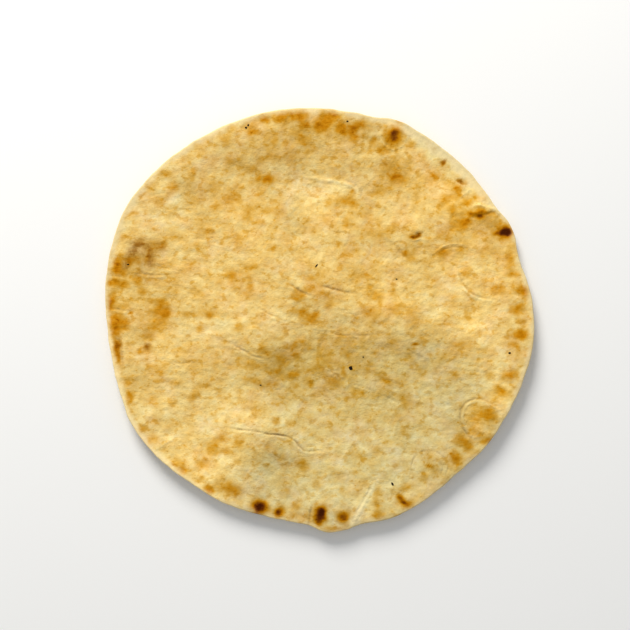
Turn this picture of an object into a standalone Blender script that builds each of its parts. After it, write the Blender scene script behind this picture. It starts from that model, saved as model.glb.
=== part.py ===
"""A pita bread: one round flat loaf of two thin layers of dough, lying on its underside.

Blender 4.5, in metres, +Z up. The origin is the middle of the loaf's footprint, on the surface that it
lies on. Places on the loaf are given as on a clock face seen from above: 12 o'clock is +Y, 3 o'clock +X.
"""

import math

import bmesh
import bpy
from mathutils import Vector

MM = 0.001

# Thickness: the two layers are pressed together at the rim and hold a little air inside it.
RIM_THICKNESS = 3.6 * MM
BODY_THICKNESS = 6.2 * MM
RIM_SLOPE = 20 * MM  # how far in from the rim the body reaches its full thickness

# The rim: (clock position in degrees, reach from the middle in mm). A smooth closed line joins them.
RIM = (
    (0, 94.0), (14, 93.4), (22, 95.2), (32, 94.0), (46, 93.5), (57, 93.0), (64, 94.6), (73, 92.6),
    (83, 94.2), (94, 95.0), (106, 94.0), (119, 92.6), (129, 92.2), (139, 91.2), (150, 92.6), (161, 93.6),
    (169, 92.5), (173, 94.2), (179, 94.2), (184, 91.2), (196, 90.6), (207, 92.0), (217, 92.4), (230, 94.6),
    (242, 95.8), (252, 94.6), (266, 94.8), (279, 97.0), (291, 99.0), (300, 100.2), (312, 99.0), (328, 96.8),
    (345, 95.4),
)

# How the rim's underside lifts off the table: a mean lift and waves round it (waves, amount, peak clock).
RIM_LIFT = 2.8 * MM
LIFT_WAVES = ((3, 0.9 * MM, 350), (2, 0.3 * MM, 330), (5, 0.25 * MM, 100))
FOOT_SHARE = 0.78  # the flat foot reaches out to this share of the rim's reach

# Swellings and hollows of the top: (x, y, half length, half width above and below, turn in degrees, height),
# in mm. A turn of 0 lays the long way along X, and a positive one turns it anticlockwise. "Above" is the side
# towards +Y.
SWELLS = (
    (8, 5, 44, 27, 17, -4, 1.9),  # the long ridge across the middle, steeper below
    (42, -3, 18, 9, 10, -6, 1.2),
    (-27, -7, 17, 14, 17, -12, 1.3),
    (-64, -22, 22, 20, 11, 0, 0.9),
    (-70, -8, 12, 14, 8, 0, 0.4),
    (-18, -50, 20, 12, 11, -12, 1.0),  # the ridge below it, with a split along its crest
    (-36, -62, 24, 20, 9, 40, 1.2),
    (22, -60, 30, 16, 14, 4, 0.5),
    (-26, 38, 30, 14, 22, 10, 0.9),
    (4, 42, 15, 9, 18, -10, 0.7),
    (38, 40, 20, 11, 15, 10, 1.0),
    (-30, 84, 38, 9, 16, 12, 0.8),
    (14, 84, 26, 8, 16, -5, 0.8),
    (68, -17, 14, 16, 16, 0, 1.0),
    (56, -24, 12, 9, 20, 0, 0.6),
    (58, 52, 10, 12, 8, -45, 1.0),
    (76, 48, 12, 6, 6, -32, 1.1),  # the pinched fold at 2 o'clock
    (-64, 32, 22, 12, 12, 20, 0.6),
    (68, -43, 10, 9, 9, 0, 1.2),  # the large blister at 4 o'clock
    (49, -65, 9, 8, 8, 0, 0.8),  # the blister beside it
    (-19, -68, 16, 9, 7, -6, -0.8),  # hollows
    (-14, 62, 30, 8, 8, 4, -0.6),
    (50, 26, 20, 6, 6, -10, -0.4),
    (10, -35, 50, 10, 10, -3, -0.3),
)

GRID_CELLS = 48  # cells across the top sheet
# The rim's edge from the top sheet down to the underside: (inset in mm, share of the thickness).
EDGE_SECTION = ((0.45, 0.80), (0.0, 0.50), (0.45, 0.20), (1.8, 0.0))
TOP_INSET = 1.5 * MM

CRUST_COLOUR = (0.78, 0.54, 0.25, 1.0)
CRUST_ROUGHNESS = 0.85


def clear_scene():
    for old in list(bpy.data.objects):
        bpy.data.objects.remove(old)


def smooth_step(share):
    share = min(1.0, max(0.0, share))
    return share * share * (3 - 2 * share)


def rim_reach(clock):
    """The rim's distance from the middle at a clock position in degrees, in metres."""
    count = len(RIM)
    last = max(i for i in range(count) if RIM[i][0] <= clock % 360)
    before, start, end, after = (RIM[(last + step) % count] for step in (-1, 0, 1, 2))
    span = (end[0] - start[0]) % 360
    share = (clock % 360 - start[0]) / span
    start_slope = (end[1] - before[1]) / ((end[0] - before[0]) % 360) * span
    end_slope = (after[1] - start[1]) / ((after[0] - start[0]) % 360) * span
    bend = smooth_step(share)
    reach = start[1] + (end[1] - start[1]) * bend
    reach += share * (1 - share) ** 2 * start_slope - share**2 * (1 - share) * end_slope
    return reach * MM


def rim_lift(clock):
    waves = (amount * math.cos(math.radians(count * (clock - peak))) for count, amount, peak in LIFT_WAVES)
    return RIM_LIFT + sum(waves)


def swelling(x, y):
    """How far the top stands above the plain loaf at a point, in metres."""
    total = 0.0
    for middle_x, middle_y, half_length, width_above, width_below, turn, height in SWELLS:
        angle = math.radians(turn)
        dx = x / MM - middle_x
        dy = y / MM - middle_y
        along = (dx * math.cos(angle) + dy * math.sin(angle)) / half_length
        across = dy * math.cos(angle) - dx * math.sin(angle)
        across /= width_above if across > 0 else width_below
        total += height * MM * math.exp(-(along**2 + across**2))
    return total


def clock_of(x, y):
    return math.degrees(math.atan2(x, y)) % 360


def underside_height(share, clock):
    """The underside lies flat on the foot and curves up to the rim."""
    return rim_lift(clock) * smooth_step((share - FOOT_SHARE) / (1 - FOOT_SHARE))


def top_height(x, y):
    clock = clock_of(x, y)
    reach = rim_reach(clock)
    radius = math.hypot(x, y)
    into_body = smooth_step((reach - radius) / RIM_SLOPE)
    thickness = RIM_THICKNESS + (BODY_THICKNESS - RIM_THICKNESS) * into_body
    fade = smooth_step((reach - radius) / (RIM_SLOPE / 2))
    return underside_height(radius / reach, clock) + thickness + swelling(x, y) * (0.35 + 0.65 * fade)


def disc_place(across, up):
    """Where a point of a square from -1 to 1 lies on a disc of radius 1, with cells of even size."""
    if abs(across) >= abs(up):
        angle = math.pi / 4 * up / across if across else 0.0
        return across * math.cos(angle), across * math.sin(angle)
    angle = math.pi / 2 - math.pi / 4 * across / up
    return up * math.cos(angle), up * math.sin(angle)


def top_sheet(bm):
    """A square grid laid out as a disc and raised to the top of the loaf."""
    bmesh.ops.create_grid(bm, x_segments=GRID_CELLS, y_segments=GRID_CELLS, size=1)
    for vert in bm.verts:
        disc_x, disc_y = disc_place(vert.co.x, vert.co.y)
        reach = rim_reach(clock_of(disc_x, disc_y)) - TOP_INSET
        x, y = disc_x * reach, disc_y * reach
        vert.co = Vector((x, y, top_height(x, y)))


def extruded_ring(bm, edges, place):
    """Extrudes the edges of a ring once and puts each new vertex where place says. Returns the new edges."""
    made = bmesh.ops.extrude_edge_only(bm, edges=edges)["geom"]
    for vert in (item for item in made if isinstance(item, bmesh.types.BMVert)):
        vert.co = place(vert.co)
    ring = [item for item in made if isinstance(item, bmesh.types.BMEdge)]
    return [edge for edge in ring if edge.is_boundary]


def edge_and_underside(bm):
    """The rounded rim, the underside's slope down to the foot, and the flat foot itself."""
    ring = [edge for edge in bm.edges if edge.is_boundary]

    for inset, height_share in EDGE_SECTION:

        def on_edge(co, inset=inset * MM, height_share=height_share):
            clock = clock_of(co.x, co.y)
            reach = rim_reach(clock)
            outward = Vector((co.x, co.y, 0)).normalized() * (reach - inset)
            low = rim_lift(clock)
            high = top_height(*(outward.normalized() * (reach - TOP_INSET)).xy)
            return Vector((outward.x, outward.y, low + (high - low) * height_share))

        ring = extruded_ring(bm, ring, on_edge)

    for share in ((1 + FOOT_SHARE) / 2, FOOT_SHARE):

        def on_underside(co, share=share):
            clock = clock_of(co.x, co.y)
            outward = Vector((co.x, co.y, 0)).normalized() * rim_reach(clock) * share
            return Vector((outward.x, outward.y, underside_height(share, clock)))

        ring = extruded_ring(bm, ring, on_underside)

    bmesh.ops.contextual_create(bm, geom=ring)


def centre_on_footprint(bm):
    """Moves the loaf so that its bounding box stands on the origin."""
    low = Vector(min(vert.co[axis] for vert in bm.verts) for axis in range(3))
    high = Vector(max(vert.co[axis] for vert in bm.verts) for axis in range(3))
    middle = (low + high) / 2
    bmesh.ops.translate(bm, verts=bm.verts, vec=(-middle.x, -middle.y, -low.z))


def crust_material():
    material = bpy.data.materials.new("baked_dough")
    material.use_nodes = True
    shader = material.node_tree.nodes["Principled BSDF"]
    shader.inputs["Base Color"].default_value = CRUST_COLOUR
    shader.inputs["Roughness"].default_value = CRUST_ROUGHNESS
    shader.inputs["Metallic"].default_value = 0.0
    return material


def make_loaf(collection):
    bm = bmesh.new()
    top_sheet(bm)
    edge_and_underside(bm)
    centre_on_footprint(bm)
    bmesh.ops.recalc_face_normals(bm, faces=bm.faces)
    mesh = bpy.data.meshes.new("pita")
    bm.to_mesh(mesh)
    bm.free()
    mesh.materials.append(crust_material())
    mesh.shade_smooth()
    mesh.set_sharp_from_angle(angle=math.radians(50))
    collection.objects.link(bpy.data.objects.new("pita", mesh))


def main():
    clear_scene()
    collection = bpy.data.collections.new("pita_bread")
    bpy.context.scene.collection.children.link(collection)
    make_loaf(collection)


main()
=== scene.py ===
"""The looks of the pita bread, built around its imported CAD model. Blender 4.5, metres, +Z up.

Places on the loaf are in millimetres from its middle, seen from above, with X to the right and Y up.
"""

import math

import bmesh
import bpy
import numpy as np
from mathutils import Matrix, Vector, noise
from mathutils.bvhtree import BVHTree


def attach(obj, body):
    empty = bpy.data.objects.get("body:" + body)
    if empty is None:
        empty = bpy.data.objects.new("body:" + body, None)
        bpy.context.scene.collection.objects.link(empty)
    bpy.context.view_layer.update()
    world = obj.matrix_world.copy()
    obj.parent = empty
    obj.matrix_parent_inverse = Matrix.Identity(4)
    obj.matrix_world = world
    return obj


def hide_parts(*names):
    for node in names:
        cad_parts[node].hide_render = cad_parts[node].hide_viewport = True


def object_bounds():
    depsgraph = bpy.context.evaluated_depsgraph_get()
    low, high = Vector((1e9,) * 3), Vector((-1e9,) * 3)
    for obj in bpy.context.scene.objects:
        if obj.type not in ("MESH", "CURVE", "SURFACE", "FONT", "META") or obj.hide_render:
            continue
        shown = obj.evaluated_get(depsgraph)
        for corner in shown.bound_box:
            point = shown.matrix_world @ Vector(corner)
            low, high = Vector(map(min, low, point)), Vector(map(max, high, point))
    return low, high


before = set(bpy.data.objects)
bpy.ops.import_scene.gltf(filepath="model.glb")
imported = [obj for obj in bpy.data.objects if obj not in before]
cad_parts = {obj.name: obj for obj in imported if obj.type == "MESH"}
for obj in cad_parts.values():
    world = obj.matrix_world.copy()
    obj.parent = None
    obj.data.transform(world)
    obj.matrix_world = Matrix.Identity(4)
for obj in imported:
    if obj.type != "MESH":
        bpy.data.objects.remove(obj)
cad_low, cad_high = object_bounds()

# ---------------------------------------------------------------------------------------------------
# The loaf's body. A ball of yeast dough is rolled out to a disc and baked in a very hot oven, where
# steam parts it into two thin layers that stay joined at the rim. On the plate it has sunk flat again,
# so its top keeps long soft waves and its rim shows a fine seam between the two layers.
# ---------------------------------------------------------------------------------------------------
MM = 0.001
SHEET_CELLS = 116  # cells across the upper and the lower sheet
SHEET_INSET = 1.5 * MM  # from the rim's outermost line to the edge of either sheet
SMOOTHING_REACH = 2.4 * MM  # the heights of the solid are averaged over a circle of this radius
# The rim from the upper sheet down to the lower one: inset from the outermost line in mm, share of its
# thickness. The seam is the deep step in the middle.
RIM_SECTION = (
    (0.62, 0.985), (0.28, 0.93), (0.10, 0.82), (0.06, 0.68), (0.20, 0.565), (0.60, 0.50),
    (0.18, 0.435), (0.02, 0.32), (0.14, 0.16), (0.55, 0.05), (1.50, 0.0),
)
SEAM_RING = 5  # the seam's place in RIM_SECTION
RIM_SHARE_OF_MAP = 0.045  # of each disc of the UV map's radius

cad_surface = BVHTree.FromObject(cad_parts["pita"], bpy.context.evaluated_depsgraph_get())


def disc_place(across, up):
    """Where a point of a square from -1 to 1 lies on a disc of radius 1, with cells of even size."""
    if abs(across) >= abs(up):
        angle = math.pi / 4 * up / across if across else 0.0
        return Vector((across * math.cos(angle), across * math.sin(angle), 0))
    angle = math.pi / 2 - math.pi / 4 * across / up
    return Vector((up * math.cos(angle), up * math.sin(angle), 0))


def solid_reach(direction):
    """How far the solid's rim lies from the middle in a level direction."""
    reaches = []
    for level in np.arange(1.2, 6.1, 0.6):
        outside = direction * 0.2 + Vector((0, 0, level * MM))
        hit = cad_surface.ray_cast(outside, -direction)[0]
        if hit:
            reaches.append(hit.xy.length)
    return max(reaches)


rim_turns = np.linspace(-math.pi, math.pi, 721)
rim_reaches = [solid_reach(Vector((math.cos(turn), math.sin(turn), 0))) for turn in rim_turns]


def rim_reach(x, y):
    """How far the solid's rim lies from the middle in the direction of a point."""
    return np.interp(np.arctan2(y, x), rim_turns, rim_reaches)


def solid_height(x, y, side):
    """The solid's height above the table round a point, on its upper side (1) or its lower side (-1)."""
    heights = []
    edge = rim_reach(x, y) - SHEET_INSET
    for turn in range(9):
        reach = SMOOTHING_REACH if turn else 0.0
        angle = turn * math.pi / 4
        place = Vector((x + reach * math.cos(angle), y + reach * math.sin(angle), 0))
        if place.length > edge:
            place *= edge / place.length
        hit = cad_surface.ray_cast(place + Vector((0, 0, side)), Vector((0, 0, -side)))[0]
        if hit:
            heights.append(hit.z)
    return sum(heights) / len(heights)


def reach_with_dents(direction):
    """The rim is torn and pressed a little unevenly, always inwards from the solid's outline."""
    dent = noise.fractal(direction * 14, 1.0, 2.0, 3)
    return rim_reach(direction.x, direction.y) - (0.22 + 0.3 * dent) * MM


def sheet(bm, side):
    """One layer of the loaf: a square grid laid out as a disc, at the solid's height."""
    verts = bmesh.ops.create_grid(bm, x_segments=SHEET_CELLS, y_segments=SHEET_CELLS, size=1)["verts"]
    for vert in verts:
        place = disc_place(vert.co.x, vert.co.y)
        vert[spread] = place.length * (1 - RIM_SHARE_OF_MAP)
        if place.length:
            place *= reach_with_dents(place.normalized()) - SHEET_INSET
        vert.co = Vector((place.x, place.y, solid_height(place.x, place.y, side)))
    return verts


bm = bmesh.new()
spread = bm.verts.layers.float.new("spread")
lower = bm.faces.layers.int.new("lower")
sheet(bm, 1)
ring = [edge for edge in bm.edges if edge.is_boundary]

for number, (inset, share) in enumerate(RIM_SECTION):
    made = bmesh.ops.extrude_edge_only(bm, edges=ring)["geom"]
    ring = [item for item in made if isinstance(item, bmesh.types.BMEdge) and item.is_boundary]
    for vert in (item for item in made if isinstance(item, bmesh.types.BMVert)):
        direction = Vector((vert.co.x, vert.co.y, 0)).normalized()
        reach = reach_with_dents(direction)
        edge_of_sheet = direction * (reach - SHEET_INSET)
        top = solid_height(edge_of_sheet.x, edge_of_sheet.y, 1)
        bottom = solid_height(edge_of_sheet.x, edge_of_sheet.y, -1)
        if number == SEAM_RING:  # the layers gape at some places and are pressed shut at others
            inset = RIM_SECTION[SEAM_RING][0] * (0.75 + 0.9 * noise.noise(direction * 9))
        vert.co = direction * (reach - inset * MM) + Vector((0, 0, bottom + (top - bottom) * share))
        rings_from_sheet = min(number + 1, len(RIM_SECTION) - 1 - number)
        vert[spread] = 1 - RIM_SHARE_OF_MAP * max(0, 1 - rings_from_sheet / (SEAM_RING + 1))
    if number > SEAM_RING:
        for face in (item for item in made if isinstance(item, bmesh.types.BMFace)):
            face[lower] = 1

upper_faces = [face for face in bm.faces if not face[lower]]
first_lower_face = len(bm.faces)
sheet(bm, -1)
bm.faces.ensure_lookup_table()
lower_sheet = bm.faces[first_lower_face:]
for face in lower_sheet:
    face[lower] = 1
bmesh.ops.reverse_faces(bm, faces=lower_sheet)
bmesh.ops.remove_doubles(bm, verts=bm.verts, dist=0.02 * MM)
bmesh.ops.recalc_face_normals(bm, faces=bm.faces)

upper_edges = {edge for face in upper_faces for edge in face.edges}
bmesh.ops.subdivide_edges(bm, edges=list(upper_edges), cuts=1, use_grid_fill=True)
top_verts = [vert for vert in bm.verts if vert.co.z > 4 * MM]
for _ in range(3):
    bmesh.ops.smooth_vert(bm, verts=top_verts, factor=0.5, use_axis_z=True)

# ---------------------------------------------------------------------------------------------------
# The skin's relief. As the loaf sinks, its skin wrinkles; where it was bent, it has split or folded over;
# and where steam stood under it, blisters rose with a thin ring round them.
# ---------------------------------------------------------------------------------------------------
# Creases: (depth, half width, height of the lip on the right of its way, points along it), in mm; the lip is
# painted lighter, partly as a painted highlight. A negative depth is a fold that stands up.
CREASES = (
    # The split along the lower ridge, and the five short ones near the middle.
    (0.72, 0.34, 0.12, ((-41, -47.4), (-36.8, -48.1), (-32.2, -48.6), (-27.8, -49.1), (-22.8, -50.2),
                        (-18.6, -50.5), (-13.5, -51.6), (-10.8, -53.4), (-9.0, -55.6), (-6.6, -57.6),
                        (-3.4, -58.0), (-0.4, -57.8))),
    (-0.22, 0.5, 0.0, ((-9.4, -52.6), (-7.6, -55.2), (-5.0, -56.6), (-1.4, -56.6), (2.2, -57.4))),
    (0.45, 0.42, 0.12, ((-38, -10.5), (-35.3, -12.3), (-32.2, -14), (-29.3, -15.7), (-24.6, -16.9))),
    (0.50, 0.42, 0.08, ((-13, 16.2), (-11.2, 14.8), (-8.6, 13.0), (-6.2, 11.8), (-3.2, 11.0))),
    (0.45, 0.42, 0.10, ((0.3, 15.2), (3.6, 14.5), (7.4, 13.5), (12.2, 12.4), (15, 12.0))),
    (0.2, 0.4, 0.06, ((9, 3.8), (12.2, 3.1), (15.8, 2.6))),
    (0.2, 0.4, 0.12, ((-29, 7.6), (-26, 5.2), (-22, 2.8), (-18.6, 1.4), (-15.2, -0.4))),
    # Fine ones over the middle and the lower half.
    (0.16, 0.4, 0.06, ((-6, -2.6), (-2.9, -4.3), (3, -4.8), (8, -6.4), (15, -6.6), (24, -6.4))),
    (0.23, 0.4, 0.09, ((2, -21.6), (6, -23.4), (11.5, -26.6))),
    (0.13, 0.4, 0.06, ((-2, -23), (2, -24.3), (6, -25))),
    (0.2, 0.4, 0.09, ((15, -28.3), (20, -29.6), (25, -31.6))),
    (0.16, 0.4, 0.06, ((27, -33), (31, -34.5), (36.5, -37.4))),
    (0.2, 0.5, 0.06, ((38, -12.2), (40.5, -14), (44, -15.6), (49, -16.4))),
    (0.13, 0.4, 0.06, ((-26, -30.4), (-21, -30.7), (-14, -30.2))),
    (0.13, 0.4, 0.06, ((-65, -18.4), (-61, -19.0), (-55, -18.7))),
    # The upper half: arcs that stand up, with a shallow line beside them.
    (-0.42, 0.8, 0.0, ((-8, 64.0), (-1.6, 62.8), (4.6, 61.9), (9.4, 60.9), (13.2, 59.6), (16, 57.8),
                       (17.8, 54.4))),
    (0.2, 0.4, 0.0, ((-4, 61.2), (3, 60.6), (8, 59.6), (11, 58.4))),
    (0.24, 0.5, 0.0, ((8, 62.9), (12, 61.9), (15.4, 60.4), (17.8, 58), (19, 55))),
    (0.16, 0.4, 0.0, ((5, 39.3), (9, 38.8), (12, 39))),
    (0.26, 0.8, 0.0, ((27, 37), (30.5, 35), (33.6, 32.8), (36, 30), (39, 28))),
    (-0.3, 0.5, 0.0, ((49.5, 29), (53.2, 31.6), (56.2, 33.3), (59.4, 33.8), (66, 33.2))),
    (0.2, 0.4, 0.0, ((52, 29.4), (55.5, 31.6), (60, 32.4), (66, 31.8))),
    (0.26, 0.4, 0.34, ((60.6, 24.6), (62.6, 18.4), (65, 14.2), (68.4, 11.2), (72, 10.1), (77, 9.4))),
    (0.16, 0.4, 0.06, ((-74, 24.6), (-67.9, 23), (-62.5, 22))),
    (0.2, 0.5, 0.21, ((-80, 21.8), (-76.9, 20.3), (-70.2, 20.1), (-66, 20.2))),
    (0.13, 0.4, 0.06, ((-57.5, 21.2), (-54, 21.3), (-51, 21.8))),
    (0.13, 0.4, 0.06, ((-56.5, 36.2), (-50, 35.8), (-45, 36.8))),
    # A pucker, where three short creases meet.
    (0.34, 0.35, 0.0, ((39.8, 39.2), (42.2, 38.6), (44, 38.2), (46.4, 38.6))),
    (0.34, 0.35, 0.0, ((42.8, 39.2), (43.8, 37.8), (45.2, 36.4))),
    (-0.22, 0.5, 0.0, ((40.2, 34.8), (42.6, 35.4), (44, 35.9), (46, 35.6))),
    # Folds and pleats at the rim.
    (0.33, 0.7, 0.3, ((80.6, 46), (77.4, 47.8), (73.6, 46.9), (70, 46), (66.8, 45.4))),
    (-0.30, 0.7, 0.0, ((64, 45), (64.8, 48), (67.2, 50.4), (71, 51.1), (75, 49.9), (79.4, 48.4))),
    (-0.24, 0.6, 0.0, ((61.4, 53.2), (64, 55.8), (67.4, 58.2))),
    (-0.24, 0.6, 0.0, ((66.6, 52.2), (69, 53.4), (72.4, 53.6))),
    (0.2, 0.5, 0.12, ((60.6, 62.6), (63.5, 61), (66.4, 60.2))),
    (0.2, 0.5, 0.18, ((-94.6, 20.4), (-90.6, 19.6), (-86, 19.2))),
    (0.2, 0.5, 0.21, ((-94.6, 5.6), (-90, 5.0), (-85, 3.9))),
    (0.33, 0.5, 0.21, ((-86.8, -21), (-87.1, -17), (-87.6, -12.5), (-88.6, -8.4))),
    (-0.22, 0.8, 0.0, ((-74.6, -58.4), (-69, -55), (-63, -51))),
    (-0.45, 1.6, 0.0, ((25.4, -70), (23.8, -74), (21.4, -78.6), (18.6, -83.2), (16.2, -88.4), (13.2, -92.6))),
    (0.2, 0.5, 0.0, ((24, -70.4), (22.2, -74.6), (19.8, -79), (17, -83.6), (14.6, -88.4))),
    (0.33, 0.6, 0.18, ((-5.2, -92.6), (-4.8, -89.8), (-4, -85.4), (-3, -81))),
    # The rings of the three blisters, which show on one side only.
    (0.46, 0.45, 0.34, ((67.4, -52.6), (64.8, -50), (62.8, -46), (62.2, -41.8), (63.4, -38), (66, -35.6),
                        (69.6, -34.6), (73, -35.2), (76, -37))),
    (0.20, 0.4, 0.0, ((66.2, -50.4), (64.2, -46.4), (63.9, -41.8), (65.2, -38.6), (67.8, -36.6))),
    (-0.28, 0.5, 0.0, ((73.6, -36.2), (76.6, -37.9), (79.2, -40), (80.8, -43.2), (80.4, -46.8),
                       (78.6, -50.2), (75.6, -53))),
    (0.28, 0.35, 0.06, ((41.6, -69.4), (40.6, -65.6), (41.4, -61.6), (43.8, -58.8), (47.6, -57.4),
                        (51.6, -58), (55, -60.8), (56.8, -64.8), (55.4, -69.4))),
    (0.16, 0.35, 0.06, ((50.6, -60.2), (53.2, -62.4), (54.4, -65.6), (53.2, -69.4))),
    (-0.32, 0.55, 0.0, ((38.4, 85.6), (39, 81), (36.4, 77), (32, 75.6), (28.2, 78), (27, 82), (28.4, 86.4))),
)
# Blisters: (x, y, radius, height) in mm.
BLISTERS = (
    (71.2, -43.8, 9.2, 0.6),
    (48.0, -64.2, 8.4, 0.25),
    (33.2, 82.0, 5.8, 0.7),
    (73.0, 47.8, 6.0, 0.16),
    (5.0, -86.0, 8.5, 0.4),
)
# Where the skin is finely wrinkled: (x, y, half length, half width, height), in mm.
WRINKLES = (
    (20, -22, 50, 16, 0.20),
    (62, -22, 26, 18, 0.14),
    (-58, -10, 34, 22, 0.14),
    (-62, 22, 26, 14, 0.16),
    (40, 8, 40, 20, 0.12),
    (-10, 40, 60, 30, 0.10),
    (20, -62, 44, 22, 0.10),
)
REFINED_REACH = 1.5  # mm: the mesh is finer this close to a crease


def smooth_line(points, steps=6):
    """A Catmull-Rom line through the points."""
    line = np.array([points[0], *points, points[-1]], float)
    shares = np.linspace(0, 1, steps, endpoint=False)[:, None]
    runs = []
    for a, b, c, d in zip(line, line[1:], line[2:], line[3:]):
        bend = (2 * b + (c - a) * shares + (2 * a - 5 * b + 4 * c - d) * shares**2
                + (3 * b - a - 3 * c + d) * shares**3)
        runs.append(bend / 2)
    return np.vstack([*runs, line[-1:]])


def beside_line(places, points):
    """For each place: its distance from a line, positive on the left of its way, and its share along it."""
    line = smooth_line(points)
    lengths = np.hypot(*np.diff(line, axis=0).T)
    run = np.concatenate([[0], np.cumsum(lengths)])
    best = np.full(len(places), 1e9)
    signed = np.full(len(places), 1e9)
    along = np.zeros(len(places))
    near = np.flatnonzero(((places > line.min(axis=0) - 9) & (places < line.max(axis=0) + 9)).all(axis=1))
    for start, end, length, before in zip(line, line[1:], lengths, run):
        way = (end - start) / length
        offset = places[near] - start
        forward = np.clip(offset @ way, 0, length)
        distance = np.hypot(*(offset - forward[:, None] * way).T)
        closer = distance < best[near]
        chosen = near[closer]
        best[chosen] = distance[closer]
        side = way[0] * offset[closer, 1] - way[1] * offset[closer, 0]
        signed[chosen] = np.where(side < 0, -distance[closer], distance[closer])
        along[chosen] = (before + forward[closer]) / run[-1]
    return signed, along


def lumps(places, size, octaves=2, layer=0.0):
    """Smooth noise from about -1 to 1, with lumps of this size in mm."""
    return np.array([noise.fractal((x / size, y / size, layer), 1.0, 2.0, octaves) for x, y in places])


def crease_relief(places):
    """For each place: the creases' height in mm, and how deep in one and how far up a lip it lies, 0 to 1."""
    height, shade, lips = np.zeros((3, len(places)))
    wander = 0.22 * lumps(places, 2.1, 2, 50.0)
    vigour = np.clip(0.8 + 0.7 * lumps(places, 3.4, 1, 60.0), 0.25, 1.25)
    for depth, half_width, lip, points in CREASES:
        distance, along = beside_line(places, points)
        distance = distance + wander
        taper = np.sin(math.pi * np.clip(along, 0.02, 0.98)) ** 0.6 * vigour
        groove = np.exp(-np.abs(distance / half_width) ** 1.4) * taper
        raised = np.exp(-((distance + 2.2 * half_width) / (1.5 * half_width)) ** 2) * taper
        height += lip * raised - depth * groove
        if depth > 0:
            # How dark the groove is painted, as shade.
            shade = np.maximum(shade, groove * min(1.0, depth / 0.6))
            lips = np.maximum(lips, raised * lip / 0.4)
        else:
            lips = np.maximum(lips, groove * -depth / 0.5)
    return height, shade, np.clip(lips, 0, 1)


def blister_relief(places):
    height = np.zeros(len(places))
    for number, (x, y, radius, rise) in enumerate(BLISTERS):
        offset = places - (x, y)
        share = np.hypot(*offset.T) / (radius * (1 + 0.1 * lumps(offset, radius, 1, 40.0 + number)))
        height += rise * np.clip(1 - share**2, 0, 1) ** 0.8
    return height


def wrinkle_relief(places):
    amount = np.zeros(len(places))
    for x, y, half_length, half_width, height in WRINKLES:
        share = ((places[:, 0] - x) / half_length) ** 2 + ((places[:, 1] - y) / half_width) ** 2
        amount = np.maximum(amount, height * np.exp(-share))
    bend = 2.5 * lumps(places, 16, 1, 8.0)
    along = places[:, 0] * 0.97 - places[:, 1] * 0.24
    across = places[:, 1] + places[:, 0] * 0.20 + bend
    return amount * lumps(np.column_stack([along / 8, across / 1.5]), 1.0, 2, 7.0)


def near_crease(places):
    near = np.zeros(len(places), bool)
    for _, _, _, points in CREASES:
        near |= np.abs(beside_line(places, points)[0]) < REFINED_REACH
    return near


def places_of(items):
    return np.array([item[:2] for item in items]) / MM


fine_edges = [edge for edge in bm.edges if edge.verts[0].co.z > 4 * MM and not edge.is_boundary]
middles = places_of([(edge.verts[0].co + edge.verts[1].co) / 2 for edge in fine_edges])
chosen = [edge for edge, near in zip(fine_edges, near_crease(middles)) if near]
bmesh.ops.subdivide_edges(bm, edges=chosen, cuts=1, use_grid_fill=True)

bm.verts.ensure_lookup_table()
verts = list(bm.verts)
places = places_of([vert.co for vert in verts])
heights = np.array([vert.co.z for vert in verts]) / MM
spreads = np.array([vert[spread] for vert in verts])
bm.normal_update()
is_upper = np.array([not any(face[lower] for face in vert.link_faces) for vert in verts])
on_sheet = np.clip((1 - spreads) / RIM_SHARE_OF_MAP - 0.4, 0, 1)

creases, crease_painted_shade, lips = crease_relief(places)
soft_waves = 0.30 * lumps(places, 19, 2, 1.0) + 0.28 * lumps(places, 7, 2, 2.0)
soft_waves += 0.20 * lumps(places, 2.6, 2, 3.0)
relief = creases + blister_relief(places) + wrinkle_relief(places) + soft_waves - 0.25
heights += np.where(is_upper, relief * on_sheet, 0.0)
under_dents = 0.35 + 0.35 * lumps(places, 11, 2, 11.0) + 0.12 * lumps(places, 3, 2, 12.0)
heights += np.where(is_upper | (spreads > 0.95), 0.0, np.clip(under_dents, 0, 0.8))
heights = np.clip(heights, 0, cad_high.z / MM)
for vert, height in zip(verts, heights):
    vert.co.z = height * MM

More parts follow.
